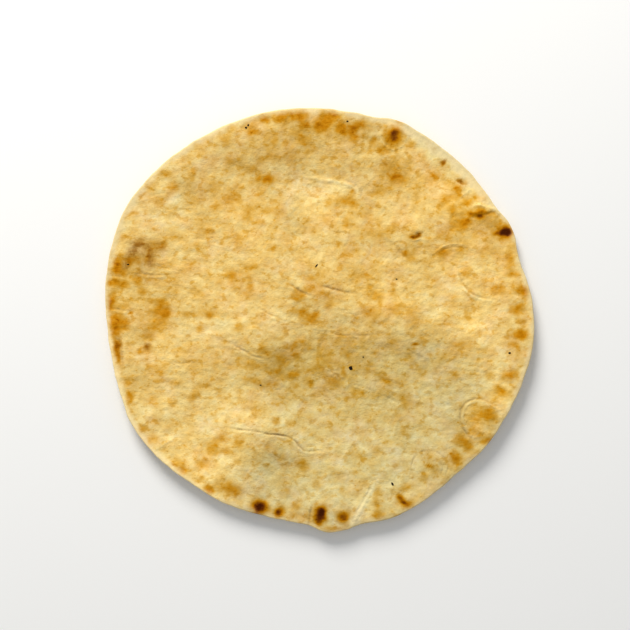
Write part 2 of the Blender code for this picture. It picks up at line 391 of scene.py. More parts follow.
# ---------------------------------------------------------------------------------------------------
# The bake. The oven's floor and air toast the skin where it bulges: amber blotches in rows along the rim
# and in clouds over the top, with a few spots of char. Flour and the thick rim keep the edge pale.
# ---------------------------------------------------------------------------------------------------
# Wide clouds that are browner or, with a negative amount, paler than the rest: (x, y, half length, half width
# in mm, turn in degrees, amount).
CLOUDS = (
    (-16, 73, 26, 9, 6, 0.06), (12, 86, 16, 7, -6, 0.12), (36, 66, 10, 9, 0, 0.12),
    (-16, -21, 20, 7, -6, 0.08), (72, 43, 11, 4, -8, 0.18), (70, 30, 16, 4, 0, 0.10),
    (-88, 12, 6, 18, 0, 0.06), (86, -8, 5, 30, 6, 0.02), (16, -42, 9, 3, -12, 0.12),
    (-40, 54, 15, 12, 20, 0.09), (-28, 30, 9, 8, 0, 0.06), (36, 32, 12, 10, 0, 0.08),
    (-60, 12, 14, 8, 0, 0.07), (66, 42, 16, 12, 0, 0.11), (57, 58, 13, 9, -40, 0.10),
    (30, 51, 14, 8, 0, 0.06), (8, 50, 12, 6, 0, 0.05), (20, 73, 7, 5, 0, 0.08), (-10, 69, 8, 6, 0, 0.09),
    (-78, 24, 10, 8, 0, 0.15), (61, 21, 11, 8, 0, 0.10), (62, -8, 11, 10, 0, 0.08), (-20, 6, 9, 7, 0, 0.07),
    (-8, -31, 9, 6, 0, 0.12), (-40, -20, 9, 6, 0, 0.06), (-70, -30, 8, 6, 0, 0.07),
    (81, -34, 5, 8, 0, 0.03), (-47, -74, 9, 5, 0, 0.04), (39, -80, 6, 5, 0, 0.08), (-26, 60, 9, 5, 0, 0.05),
    (62, 50, 9, 7, 0, 0.06), (-40, 50, 6, 5, 0, 0.05), (84, 28, 6, 10, 0, 0.07),
    (-38, -1, 26, 5, 12, -0.14), (-6, 62, 9, 7, 60, -0.12), (40, 47, 16, 6, 0, -0.09),
    (54, 76, 13, 8, -40, -0.14), (20, -66, 30, 12, 0, -0.08), (42, -74, 12, 8, 0, -0.04),
    (12, 61, 14, 4, 0, -0.10), (-80, -17, 6, 9, 0, -0.07), (82, -16, 7, 10, 0, -0.08),
    (51, -41, 9, 8, 0, -0.10), (62, -48, 6, 5, 0, -0.05), (30, -70, 9, 7, 0, -0.08),
    (10, -79, 16, 6, 0, -0.09), (-18, -79, 16, 6, 0, -0.15), (-26, -69, 9, 6, 0, -0.06),
    (-66, 49, 11, 8, 0, -0.11), (-40, 61, 7, 5, 0, -0.07), (-10, 40, 6, 5, 0, -0.07),
    (-36, -48, 14, 8, 0, -0.11), (4, -52, 14, 7, 0, -0.07), (-12, -42, 10, 5, 0, -0.08),
    (8, -15, 18, 12, 0, 0.15), (8, 4, 12, 8, 0, -0.04), (-13, -21, 14, 6, 0, 0.06), (6, 20, 8, 5, 0, -0.06),
    (8, 91, 12, 4, 0, -0.22), (12, 8, 22, 12, 0, 0.06), (10, 24, 20, 7, 0, 0.08), (-69, -3, 9, 6, 0, 0.12),
    (-57, -11, 7, 5, 0, -0.05), (-42, -50, 6, 4, 0, -0.06), (78, 49, 6, 3, -20, 0.02),
    (80, 12, 5, 4, 0, 0.08), (44, 68, 7, 6, 0, 0.06), (50, 72, 7, 5, -40, -0.12),
    (-42, -70, 10, 4, 0, -0.10), (62, -51, 8, 6, 0, -0.12), (78, 20, 7, 5, 0, -0.05),
    (0, 57, 8, 5, 0, -0.06), (35, -79, 9, 5, 0, -0.09), (10, -79, 6, 4, 0, -0.05), (8, -90, 9, 3, 0, -0.22),
    (36, 84, 6, 5, 0, -0.07), (67, -31, 10, 6, 20, -0.16), (76, -40, 7, 6, 0, -0.13),
    (-80, -40, 6, 8, 20, -0.12), (40, 11, 7, 5, 0, 0.03), (-40, 76, 6, 4, 0, 0.08),
)
# Toasted patches, in the same form.
TOASTED = (
    # The top rim and what lies under it.
    (-40, 84, 3, 2, 20, 0.22), (-41, 79, 2, 2, 0, 0.14), (-31, 85.6, 3, 2.6, 0, 0.20),
    (-29, 83, 1.7, 1.4, 0, 0.22), (-24.4, 89, 2.2, 2, 0, 0.40), (-16.5, 90, 4.4, 2.6, 8, 0.40),
    (-8.6, 90.4, 3.8, 2.4, 0, 0.62), (-7, 86.2, 2.2, 2, 0, 0.46), (-10, 83, 3, 1.6, 0, 0.14),
    (4.2, 90.4, 4, 2.8, 0, 0.60), (2, 88, 4, 3, 20, 0.46), (0.2, 85.4, 2.4, 2.4, 0, 0.46),
    (8.6, 90, 1.8, 1.8, 0, 0.22), (9.4, 84.8, 2.2, 2.6, 0, 0.62), (12.6, 83.4, 4, 2, 0, 0.28),
    (16.6, 85.8, 3.2, 2.2, 30, 0.36), (15.6, 80.4, 2.4, 1.6, 0, 0.36), (20, 81.4, 1.4, 1.2, 0, 0.16),
    (24, 79.6, 2, 1.8, 0, 0.40), (22.2, 75.6, 1, 2.2, -15, 0.18), (-7, 79.6, 3.2, 1.6, 0, 0.18),
    (-20, 78.8, 1.5, 1.5, 0, 0.14), (-15, 78, 1.6, 1.3, 0, 0.12), (-5, 74.6, 1.7, 1.7, 0, 0.18),
    (-38, 70.6, 4, 1.4, 0, 0.14), (-30, 67.4, 2, 2, 0, 0.20), (-27, 70.2, 1.6, 1.5, 0, 0.16),
    (-23, 62.5, 2, 1.8, 0, 0.9), (-27, 63, 1.7, 1.2, 0, 0.44), (-13.6, 61.2, 1.6, 1.3, 0, 0.22),
    (-7.6, 67, 0.9, 1.2, 0, 0.18), (-56.2, 64.4, 1.7, 2.6, 0, 0.26), (-47, 57.4, 1.5, 1, 0, 0.20),
    (-39.8, 53.8, 2.6, 2.2, 0, 0.20), (-60, 71, 4, 2, 30, 0.12), (-67.4, 65.4, 3, 1.8, 20, 0.26),
    (-72.4, 52.6, 3.6, 2.4, 0, 0.18), (-83.2, 47.2, 3, 1, 0, 0.28), (-64, 59.4, 2.6, 2, 0, 0.20),
    (-75.8, 60.2, 1.6, 2.4, -20, 0.20), (-23.7, 48.4, 2.3, 1.4, 0, 0.26),
    (-32, 49, 2.6, 1.6, 0, 0.14), (-31.7, 45, 2.4, 1.8, 0, 0.22), (12, 53.1, 2.7, 1.9, 0, 0.40),
    (15, 51.8, 2.0, 1.8, 0, 0.34), (4.0, 52.4, 2.4, 2.2, 0, 0.26), (14.6, 57, 1.4, 1.4, 0, 0.22),
    (28.6, 75.4, 2.6, 2, 0, 0.24), (33, 69, 4, 3, 0, 0.14), (34.4, 62.8, 4.0, 2.6, 0, 0.34),
    (43.6, 65.2, 1.5, 1.5, 0, 0.18), (27.2, 58, 2, 3, 0, 0.14), (41, 78, 1.9, 1.4, 0, 0.20),
    (35.3, 87.6, 1.6, 1.1, -20, 0.55), (33.2, 82, 4.9, 4.8, 0, 0.30), (34.4, 75.2, 1, 0.8, 0, 0.26),
    (50.2, 75.8, 1.8, 1, 0, 0.30), (55.3, 70.1, 1.6, 1.0, 50, 0.50), (50.8, 63.6, 1.6, 1.5, 0, 0.32),
    (62.4, 61.4, 2, 0.8, -25, 0.40), (61.1, 57.4, 1.3, 2.6, 0, 0.36), (55.6, 53.8, 2.6, 2.2, 0, 0.24),
    (65.2, 52.2, 2.8, 1.8, 30, 0.36), (70.6, 54.2, 3.6, 1.6, -15, 0.26), (71.6, 47, 5.2, 1.8, -6, 0.34),
    (59, 48.6, 2, 2.4, 0, 0.30), (66.4, 47.4, 1.6, 1.4, 0, 0.26), (63.4, 41.4, 2.2, 2.4, 0, 0.30),
    (65.2, 43.2, 2.2, 1.6, 0, 0.42), (60, 41.8, 3, 2.6, 0, 0.14),
    (71.4, 48.8, 1.3, 1.5, 0, 0.36), (72.6, 53.6, 2.4, 1.2, -20, 0.18), (58.8, 54.4, 2, 1.6, 0, 0.18),
    (52.4, 37.2, 1.4, 2.4, 0, 0.18),
    # The middle.
    (-25.4, 43.1, 2, 1.3, -20, 0.30), (-49, 39.6, 1.2, 1.1, 0, 0.24), (-53.6, 33, 4, 1.4, 0, 0.12),
    (-35.8, 34.6, 2, 2.6, 0, 0.14), (-20, 32, 1, 1, 0, 0.22), (-29, 24.1, 3.4, 1.5, 0, 0.18),
    (-30.8, 16.6, 1.3, 3.8, 6, 0.28), (-39, 19.6, 1.9, 1.6, 0, 0.22), (-32.5, 11.4, 1.4, 1.1, 0, 0.16),
    (9, 33.8, 1.8, 1.2, 0, 0.30), (11.8, 43.8, 2, 2, 0, 0.22), (22, 39, 3.6, 2.2, 0, 0.14),
    (18.6, 36.7, 1, 0.9, 0, 0.18), (-3.6, 19, 1.8, 1.1, 0, 0.12), (-5.4, 14.2, 2.2, 1.7, 0, 0.24),
    (-9.6, 10.9, 2.8, 2.4, 20, 0.36), (6.6, 8.4, 3.4, 2, 0, 0.18), (-7.4, 3.2, 1.8, 2.4, 15, 0.46),
    (-4.4, 0.9, 2.8, 1.8, 0, 0.50), (-0.2, -1.4, 2.2, 1.6, 0, 0.24), (-1.2, 2.5, 1.6, 1.8, 0, 0.40),
    (-11.4, 4.2, 2.6, 1.5, 0, 0.18), (-48.6, 2.2, 2.1, 1.7, 0, 0.36), (-58.2, 2.8, 2.8, 1.4, 0, 0.28),
    (-53, -3.4, 1.7, 1.9, 0, 0.36), (-35.4, -3.2, 2.6, 1.7, 0, 0.14), (37.6, 29.7, 1.6, 1.2, 0, 0.34),
    (39.8, 27.4, 2.3, 1.8, -40, 0.20), (37.5, 41, 1, 1, 0, 0.22), (32.2, 41.4, 2.6, 1.6, 30, 0.16),
    (22.3, 15, 1.5, 1.1, -30, 0.30), (32.2, 12.8, 1.4, 1.7, 0, 0.18), (24.8, 11, 4.6, 2.4, 0, 0.24),
    (26.8, 7, 0.8, 1.7, 0, 0.18), (26.8, -0.6, 1.2, 0.8, 0, 0.26), (40.4, 3.9, 3.2, 2.2, 20, 0.16),
    (32, 4.4, 3, 2, 0, 0.12), (20.7, 3.7, 2, 1.6, 0, 0.14), (20, 20.2, 2.6, 1.4, 0, 0.12),
    (55.4, 30.4, 3.6, 2.2, -10, 0.34), (56, 35.4, 1, 0.8, 0, 0.20), (64.6, 2.9, 1.2, 2.4, 0, 0.22),
    (68.2, 5.8, 0.8, 1.5, 0, 0.16), (62, -10.7, 2.7, 1.5, 0, 0.28), (45.2, -8.6, 2.2, 1.4, 20, 0.22),
    (26.8, -5, 1.2, 1.2, 0, 0.18), (-25.4, -11.8, 1.8, 2.8, 15, 0.30), (-22.7, -14.5, 1.3, 0.9, 0, 0.30),
    (-30.0, -20.0, 3.2, 2.2, -20, 0.26), (-38.6, -20.6, 3, 2, 0, 0.10), (-17.2, -17.8, 2.8, 2.4, 0, 0.16),
    (-18.4, -7.8, 2.6, 1.8, 0, 0.16), (-10, -16.4, 1.4, 2.8, 0, 0.18), (-11.4, -11.5, 2.2, 1.2, 30, 0.18),
    (-5, -11, 2, 2, 0, 0.12), (-0.4, -15, 1.4, 3.4, 0, 0.14), (-0.4, -21, 2.4, 1.5, 0, 0.24),
    (-2.4, 39.4, 2.6, 1.8, 0, 0.18), (71.6, -6, 3, 1.6, 0, 0.14), (-12.9, -24.2, 5, 1.4, 14, 0.22),
    (-20, -22.4, 4, 1.4, 0, 0.12), (-29.3, -26.5, 3.4, 1.5, 0, 0.24), (-19.7, -28.3, 1.9, 1.2, 0, 0.24),
    (-3.9, -28.4, 1.1, 1.7, 0, 0.26), (5.7, -27.2, 2.4, 2, -20, 0.22), (10.8, -23, 1, 2.4, 10, 0.26),
    (12.4, -15.3, 1.6, 1.3, 0, 0.22), (29, -26, 1.6, 3, 40, 0.22), (17.5, -32, 4.6, 1.2, -30, 0.16),
    (38, -35.4, 2.2, 3.4, 20, 0.22),
    # The left side.
    (-89.9, 25.4, 1.9, 3.2, 0, 0.70), (-84.4, 26.6, 1.6, 2, -20, 0.14), (-79.8, 34.4, 3, 1.8, -20, 0.26),
    (-75, 28.4, 2, 4.4, 0, 0.22), (-70.2, 33.2, 2.8, 2.4, 0, 0.26), (-81.4, 26.6, 2.4, 1.8, 0, 0.26),
    (-86, 37.2, 1.8, 1.2, 0, 0.24), (-82.6, 30.6, 1.6, 3.4, -25, 0.16), (-67.6, 24.4, 2.6, 1.8, 0, 0.18),
    (-91.2, 17.2, 2.2, 1.9, 0, 0.62),
    (-87, 16, 2.8, 1.8, 0, 0.36), (-87.4, 21.6, 2.6, 2.2, 0, 0.34), (-80.0, 17.4, 2.4, 1.8, 0, 0.46),
    (-78.6, 13.3, 2.4, 1.6, 0, 0.42), (-92.6, 8.4, 2, 3.4, -8, 0.80), (-88, 6, 4, 1.5, 0, 0.20),
    (-89.2, 3.2, 2, 1.2, 0, 0.18), (-82.6, 4.0, 2.2, 1.0, 15, 0.14), (-74.4, 8.6, 1.7, 1.3, -20, 0.34),
    (-69.7, 7.6, 2.7, 2.3, 0, 0.76), (-67.9, 3.3, 2.4, 2.2, 0, 0.51), (-72.4, 4.2, 2.2, 1.7, 0, 0.30),
    (-89, -0.8, 3.8, 3.2, 0, 0.60), (-90.6, -5.4, 2, 3, 0, 0.50), (-90, -12.2, 1.6, 3.6, 8, 0.40),
    (-88.6, -17, 1, 2.4, 10, 0.34), (-79, -13.7, 2.2, 1.3, 0, 0.32), (-75.8, -11.8, 1.2, 1.6, 15, 0.32),
    (-75.6, -7, 3, 1.8, 0, 0.18), (-71.4, -1.4, 5.4, 2.8, 10, 0.26), (-85.8, -26.6, 2, 3.2, 0, 0.18),
    (-71.7, -26.6, 1.6, 1.1, 0, 0.22), (-68.2, -19.4, 2.4, 1.6, 0, 0.18), (-75.2, -20.2, 3, 1.2, 0, 0.12),
    (-64, -27.4, 3, 1.4, 10, 0.12),
    (-84.0, -34.4, 1.4, 3, 0, 0.50), (-74.3, -35, 2, 1.8, 0, 0.14), (-64, -36.3, 1.5, 2, 0, 0.20),
    (-81.2, -43.6, 1, 0.9, 0, 0.26), (-77.8, -47.6, 2.3, 1.6, -20, 0.42), (-71.8, -52.4, 1.5, 1.7, 0, 0.16),
    (-56, -34, 1.6, 1.8, 0, 0.22), (-50.4, -29, 2, 1, 0, 0.14), (-44.4, -31, 1, 0.8, 0, 0.20),
    (-35.8, -33.5, 1, 3, 0, 0.12), (-68.8, -57.2, 1.7, 1.4, 0, 0.14), (-42.6, -52.4, 3.6, 2, 0, 0.32),
    (-47, -56.2, 2.4, 3.2, 0, 0.32), (-41.8, -57.6, 2.6, 1.4, 0, 0.28), (-35.4, -54.8, 2.2, 2, -30, 0.32),
    (-36.8, -51.2, 1.6, 1.1, 0, 0.16), (-36.8, -62.9, 1.7, 1, 0, 0.18), (-64, -63.2, 2.2, 1.4, 0, 0.46),
    (-61, -65.8, 2, 2.4, 30, 0.36), (-52, -63, 2.8, 2.2, 0, 0.30), (-52.2, -70, 2.2, 1.3, 0, 0.26),
    (-48.8, -75.2, 2, 2, 0, 0.60), (-43.4, -69, 2.6, 1.4, 0, 0.12), (-38.6, -74.6, 3, 2.6, -30, 0.56),
    (-43.6, -72.6, 4.4, 3, 0, 0.13),
    # The lower rim and what lies above it.
    (-19.3, -44.7, 1.6, 1.5, 0, 0.24), (-13, -45.4, 2, 1.6, 0, 0.22), (-28.4, -42, 2, 1.6, 0, 0.14),
    (-22.8, -56.3, 2, 1.5, 0, 0.16), (-15.8, -60.8, 2.4, 2, 0, 0.16), (-8, -63.6, 2.8, 1.9, 0, 0.26),
    (-6.9, -66, 2, 2.2, 0, 0.24), (-15.2, -74.6, 1.8, 1.7, 0, 0.18), (-1.6, -73.2, 1.8, 2, 0, 0.20),
    (9.7, -75, 1.2, 1.8, 0, 0.18), (-22.4, -77.4, 1.8, 1.4, 0, 0.14), (-10.2, -82.4, 2, 1.5, 0, 0.30),
    (-17.7, -84.8, 3.2, 3.0, 0, 0.16), (-11, -87.4, 4, 2.6, 0, 0.10), (22.6, -48.8, 1.3, 0.9, 0, 0.28),
    (26.2, -57.4, 1.9, 2.4, 30, 0.20), (18.1, -60, 3.4, 2.4, 0, 0.10), (7.4, -59.4, 2, 1.6, 0, 0.14),
    (36.8, -48.6, 1.3, 2.4, 0, 0.10), (25.8, -75.8, 2.2, 3.2, 0, 0.30), (25.6, -81.4, 1.8, 2.8, 20, 0.28),
    (26.4, -86, 2.6, 2, 0, 0.40), (20.6, -72, 1.8, 3, 20, 0.14), (38.6, -73.6, 3.6, 1.8, 30, 0.16),
    (35.5, -78.4, 2.3, 1.4, -40, 0.30), (38.8, -81.4, 1.8, 1.4, -10, 0.30), (46, -69.2, 1.8, 2.4, -30, 0.20),
    (50.4, -66, 3, 1.8, -30, 0.22), (5.4, -92.2, 5, 1, -5, 0.26), (-1.1, -81.4, 1.6, 1.6, 0, 0.28),
    # The right side.
    (84, 27, 2, 3.4, 0, 0.30), (85, 20.3, 2.8, 1.4, 0, 0.28), (78.6, 13.4, 3.2, 2.4, -10, 0.34),
    (64.4, 21.6, 2.4, 2, 0, 0.12), (90.4, 13, 2.6, 2.2, -20, 0.74), (86.6, 5, 3, 2.2, 0, 0.36),
    (89.4, 5.8, 2, 1.8, 0, 0.40), (89, -0.5, 2, 1.4, 0, 0.42), (88.8, -6.2, 3, 2.2, 0, 0.74),
    (84.4, -6, 3, 1, 0, 0.16), (85.8, -11.2, 2.3, 1.6, -20, 0.34), (83.8, -24.2, 3.0, 2.5, 0, 0.52),
    (80.2, -31.6, 3.4, 2.4, -15, 0.46), (77.4, -35.6, 2.4, 1.6, 0, 0.26), (75.5, -24.4, 1.6, 1.4, 0, 0.20),
    (74.3, -13.7, 3.6, 1.6, 0, 0.14), (70.2, -17.6, 1, 1.5, 0, 0.22), (60.2, -24.4, 1.3, 1.2, 0, 0.14),
    (75.0, -41.2, 3.4, 2.6, -15, 0.52), (70.6, -43.8, 7.6, 7.6, 0, 0.24), (67.4, -48.6, 2.2, 2, 0, 0.24),
    (74.2, -52.9, 3.2, 1.4, 10, 0.48), (61.4, -63.6, 1, 1, 0, 0.24), (61.6, -52.6, 2.8, 2, 0, 0.46),
    (65.0, -55, 2.2, 2.6, 20, 0.50), (60, -60.6, 1.9, 3, 12, 0.44),
)
# Charred spots: (x, y, half length, half width in mm, turn in degrees, amount). Each has an amber halo.
CHARRED = (
    (-26.2, -82.4, 3.6, 2.8, -8, 0.92), (-28.4, -85.4, 1.5, 1.1, -20, 0.26),
    (-17.8, -84.8, 2.1, 2.3, 0, 0.76), (1.0, -83.6, 2.3, 1.8, 0, 0.30), (0.8, -87.0, 2.6, 2.5, 0, 0.38),
    (-0.4, -86.4, 3.0, 3.6, 0, 0.30), (-0.6, -90.2, 1.5, 1.2, 0, 0.22), (10.4, -87.0, 2.6, 2.3, 20, 0.56),
    (83.0, 39.3, 2.9, 2.5, 8, 0.80),
    (79.4, 38.6, 2.6, 1.2, 10, 0.30), (71, 46.0, 1.6, 1.1, 0, 0.30), (74.6, 47.7, 3, 0.8, -10, 0.16),
    (67.6, 47, 2, 0.9, -20, 0.14), (33.2, 82.2, 4.6, 4.6, 0, 0.14), (34.2, 83.0, 2.4, 2.0, -20, 0.31),
    (31.6, 81.6, 2.2, 2.4, 0, 0.20), (33.2, 79.6, 2.8, 1.5, 0, 0.15),
    (55.3, 70.1, 1.6, 0.9, 50, 0.24), (36.0, -78.9, 2.3, 1.8, -40, 0.54),
    (38.7, -81.3, 1.9, 1.5, -10, 0.38), (48.6, -64.3, 1.8, 0.8, -10, 0.42),
    (41.7, 37.0, 1.7, 0.9, -8, 0.46), (43.9, 37.9, 1.1, 0.9, 30, 0.40), (-89.3, -10.2, 1.6, 1.8, 0, 0.28),
    (-89.4, -13.6, 1.2, 3.2, 6, 0.20),
    (-83.9, 3.2, 1.2, 0.5, 15, 0.34), (42.3, -10.4, 1.3, 0.6, 0, 0.55), (-84.2, 25.5, 1.4, 1.8, 0, 0.20),
    (-80.8, 33.4, 1.8, 1, 0, 0.16),
)
# Painted cool shade where the skin lies in soft shadow; then where it is grimy, or paler than the rest, in
# the same form.
PAINTED_SHADE = (
    (26, -52, 54, 40, 0, 1.0), (16, -20, 50, 12, -4, 0.8), (-16, -66, 16, 13, 0, 0.8),
    (-20, 73, 26, 9, 6, 0.3), (50, 79, 27, 6, -37, 0.85),
)
GRIMY = (
    (-78.5, 29.5, 8.0, 6.6, 35, 0.42), (-79.6, 33.8, 4.4, 1.8, -12, 0.62),
    (-83.2, 30.4, 2.0, 4.6, -25, 0.66), (-86.2, 24.8, 1.8, 2.0, 0, 0.70), (-75.0, 29, 1.8, 3.6, 0, 0.58),
    (-74.4, 25, 1.6, 2.4, 0, 0.36), (-70.4, 32.8, 3, 3.2, 0, 0.34), (-20, 74, 26, 9, 6, 0.12),
    (-75.6, -6.6, 3.6, 2, 0, 0.30), (-76, -11.5, 1.2, 1.6, 0, 0.85), (-89.2, -12, 1.8, 5, 6, 0.5),
    (42.8, 37.9, 2.6, 1.6, 15, 0.7), (55.3, 70.1, 1.8, 1.2, 50, 0.7), (62.4, 61.4, 2.2, 0.9, -25, 0.7),
    (50, 76, 2, 1.2, 0, 0.4), (24.6, -0.2, 1.8, 1.2, 0, 0.4), (74, 41.5, 9, 3, -6, 0.24),
    (-21, -64, 9, 8, 0, 0.12), (-27, 70, 2, 1.6, 0, 0.20),
)
PALE = (
    (44, 10, 4, 3, 0, 0.10), (52, 4, 6, 2.6, 0, 0.10), (3, 34, 7, 2.4, 0, 0.04), (-14, 26, 6, 2.6, 0, 0.08),
    (-9, -54, 6, 3, -40, 0.10), (4, -38, 16, 4, 0, 0.08), (69.6, -46.6, 1.8, 1.5, 0, 0.12),
    (24, -49, 26, 5, 0, 0.05), (-44, -66, 9, 4, -20, 0.10), (74, 24, 10, 4, 0, 0.08),
    (19.4, -82, 11, 1.7, 62, 0.18), (-66, 52.6, 4, 2, 30, 0.12), (-40, 75.6, 1.6, 1.6, 0, 0.08),
    (-71, 46, 4, 1.6, 0, 0.10), (54, 10, 3, 3, 0, 0.06), (53.4, 67.4, 2.4, 2.2, 0, 0.12),
    (35.4, -68.4, 3.4, 2.8, 0, 0.12), (-67.4, -60, 2.8, 2.4, 0, 0.13), (-15.6, 18.8, 3.2, 2.6, 0, 0.12),
    (-54, -14.6, 3.6, 2.6, 0, 0.09), (31, -75.4, 2.6, 2.4, 0, 0.09), (22.4, 54.4, 2.4, 3.6, 0, 0.09),
    (73.4, -46.8, 3.0, 2.6, 0, 0.22), (62.3, 64, 2.4, 2.0, 0, 0.10), (53.4, -28.2, 3, 2.4, 0, 0.09),
    (1.1, 16.8, 2.8, 1.8, 0, 0.08), (5.0, -86.4, 2.0, 3.2, 0, 0.34), (-15.2, -89.2, 2.4, 1.4, 0, 0.2),
    (41, -1.8, 2.4, 2, 0, 0.08), (-55.8, -17.6, 2.4, 2, 0, 0.08), (11.3, -35.3, 2.6, 2, 0, 0.07),
    (69.4, -43, 2.4, 1.8, 0, 0.10), (22, 83, 2, 1.6, 0, 0.08), (75.4, 46, 2.4, 1.0, -15, 0.12),
)
# Painted light, where the skin is lightened as if lit more, or, with a negative amount, painted shade, where
# it is darkened.
PAINTED_LIGHT_AND_SHADE = (
    (-56, -64, 20, 14, -35, 0.75), (-71, -14, 10, 9, 0, 0.6), (-62, 25, 6, 5, 0, 0.35),
    (-54, 12, 8, 6, 0, 0.2), (-70, -35, 9, 6, 0, 0.5), (-40, -55, 13, 9, 0, 0.5), (-34, -1, 14, 8, 10, 0.5),
    (80, -30, 6, 9, 0, 0.65), (58, 53, 13, 7, -40, 0.75), (70, 54, 4, 4, 0, 0.5),
    (46, -76, 12, 6, 30, 0.65), (2, -60, 13, 9, 0, 0.55), (20, -75, 9, 7, 0, 0.4), (70, -50, 6, 8, 0, 0.6),
    (60, -66, 5, 4, 40, 0.5), (66, -4, 11, 6, 0, 0.5), (0, 26, 12, 5, 0, 0.35), (60, 25, 6, 5, 0, 0.4),
    (70, -4, 7, 7, 0, 0.3), (-50, 25, 10, 6, 0, 0.3), (-38, -39, 13, 6, 0, 0.45), (20, -56, 8, 6, 0, 0.35),
    (-29, 32, 7, 12, 0, 0.28), (20, 76, 5, 4, 0, 0.3), (28, 11, 9, 8, 0, 0.6), (72, 22, 20, 30, 0, 0.35),
    (40, 45, 6, 4, 0, 0.45), (80, -36, 5, 5, 0, 0.6), (70, -45, 5, 4, 0, 0.45), (-70, 24, 6, 5, 0, 0.35),
    (-40, 15, 6, 4, 0, 0.3), (-50, -6, 6, 5, 0, 0.3), (5, -16, 9, 5, 0, 0.3), (-30, -45, 7, 4, 0, 0.4),
    (70, -46, 5, 5, 0, 0.3), (20, -85, 6, 4, 0, 0.65), (-10, -55, 7, 4, 0, 0.35), (30, 26, 6, 4, 0, 0.3),
    (78, 15, 6, 9, 0, 0.2), (40, 75, 5, 4, 0, 0.3), (-72, 25, 18, 32, 0, -0.25), (-56, 60, 9, 8, 0, -0.3),
    (-50, -55, 8, 6, 0, -0.45), (-50, -66, 6, 5, 0, 0.4), (40, -76, 6, 4, 0, 0.4), (30, -55, 6, 4, 0, 0.35),
    (-80, 24, 5, 5, 0, -0.4), (-80, -26, 6, 6, 0, -0.5), (57.9, -70, 3, 3, 0, -0.5),
    (-8, 86, 9, 4, 0, -0.7), (13, 87, 7, 4, 0, -0.35), (70, -35, 6, 5, 0, -0.3), (30, -35, 6, 5, 0, -0.3),
    (2, 44, 6, 4, 0, 0.5), (5, -86, 12, 5, 0, -0.6), (45, -15.7, 4, 2.4, 0, -0.5),
    (-20, 55, 7, 5, 0, -0.25), (20, 66, 8, 4, 0, -0.25), (19, 59, 5, 10, 0, -0.35),
    (-10, 66, 11, 6, 0, -0.5), (-12, 46, 5, 6, 0, -0.8), (22, 84, 9, 5, 0, -0.9), (32, 64, 7, 5, 0, -0.5),
    (-30, 66, 6, 4, 0, -0.4), (-35, 57, 22, 6, 5, -0.3), (59, -38, 6, 8, 0, -0.5),
    (50, -12, 14, 7, 0, -0.4), (-20, -22, 7, 15, 0, -0.45), (-40, -5, 6, 5, 0, -0.45),
    (42, -55, 7, 5, 0, -0.35), (-10, -35, 6, 4, 0, -0.2), (-26, -76, 11, 6, 0, -0.6),
    (4, 5, 14, 6, 0, -0.3), (30, 35, 14, 5, 0, -0.3), (-80, -5, 6, 5, 0, -0.5), (-50, 45, 6, 5, 0, -0.4),
    (-60, 56, 7, 5, 0, -0.4), (-65, -45, 9, 5, 0, -0.45), (55, 65, 10, 5, -30, -0.3),
    (10, 66, 6, 5, 0, -0.4), (60, 35, 5, 4, 0, -0.4), (-42, 75, 5, 4, 0, -0.35), (60, -45, 5, 5, 0, -0.3),
    (-12, -36, 7, 5, 0, -0.2), (-11, 5, 6, 5, 0, -0.45), (72, 46, 5, 4, 0, -0.5), (-30, 6, 5, 4, 0, -0.4),
)
# How far in the pale edge reaches round the loaf: (clock position in degrees, mm from the outermost line).
PALE_EDGE = (
    (0, 2.0), (12, 2.2), (25, 4.6), (54, 4.6), (58, 1.4), (72, 1.2), (80, 2.0), (95, 2.4), (110, 2.0),
    (122, 1.0), (150, 1.4), (168, 1.6), (173, 1.1), (179, 1.1), (184, 1.8), (205, 1.6), (230, 2.4),
    (252, 2.4), (262, 1.8), (275, 2.0), (285, 2.2), (300, 3.4), (315, 2.2), (330, 2.6), (345, 2.4),
)
# Painted light and shade on the rim's edge: how much lighter or, below 0, darker it is painted than the skin
# inside it:
# (clock position in degrees, amount, width in mm).
EDGE_PAINTED_LIGHT = (
    (12, -0.30, 1.6), (24, -0.55, 1.8), (40, -0.3, 1.8), (84, -0.3, 1.8), (100, -0.45, 2.0),
    (122, -0.5, 2.4), (138, -0.9, 2.8), (165, -0.8, 2.8), (171, -0.6, 2.6), (174, -0.15, 2.4),
    (181, -0.15, 2.4), (189, -0.2, 2.8),
    (200, -0.75, 2.8), (208, 0.1, 2.4), (230, 0.3, 1.8), (250, 0.3, 1.8), (268, 0.0, 1.8),
    (282, -0.35, 1.6), (345, -0.30, 1.6),
)


def blotches(places, marks, sharpness=1.3):
    total = np.zeros(len(places))
    for x, y, half_length, half_width, turn, amount in marks:
        angle = math.radians(turn)
        dx, dy = (places - (x, y)).T
        along = (dx * math.cos(angle) + dy * math.sin(angle)) / half_length
        across = (dy * math.cos(angle) - dx * math.sin(angle)) / half_width
        total += amount * np.exp(-((along**2 + across**2) ** sharpness))
    return total


def set_attribute(mesh, name, values):
    attribute = mesh.attributes.new(name, "FLOAT", "POINT")
    attribute.data.foreach_set("value", values.astype(np.float32))


warp = np.column_stack([lumps(places, 4, 3, 21.0), lumps(places, 4, 3, 22.0)])
warped = places + 1.0 * warp
toast = 0.80 * (1 - np.exp(-blotches(warped, TOASTED) / 0.46))
pale = blotches(warped, PALE)
clouds = blotches(warped, CLOUDS, 1.0)
char = blotches(places + 0.3 * warp, CHARRED, 1.4)
HALO_SPREAD, HALO_AMOUNT = 1.25, 0.26  # how much wider than its char a halo is, and how brown at most
halos = [(x, y, HALO_SPREAD * half_length, HALO_SPREAD * half_width, turn, min(HALO_AMOUNT, amount))
         for x, y, half_length, half_width, turn, amount in CHARRED]
halo = blotches(places + 0.7 * warp, halos)
inset = rim_reach(*places.T) / MM - np.hypot(*places.T)
clocks = np.degrees(np.arctan2(places[:, 0], places[:, 1])) % 360
edge_width = np.interp(clocks, *zip(*PALE_EDGE), period=360)
# The rim edge's painted light and shade, fading inwards over its width.
tone_clocks, tones, tone_widths = zip(*EDGE_PAINTED_LIGHT)
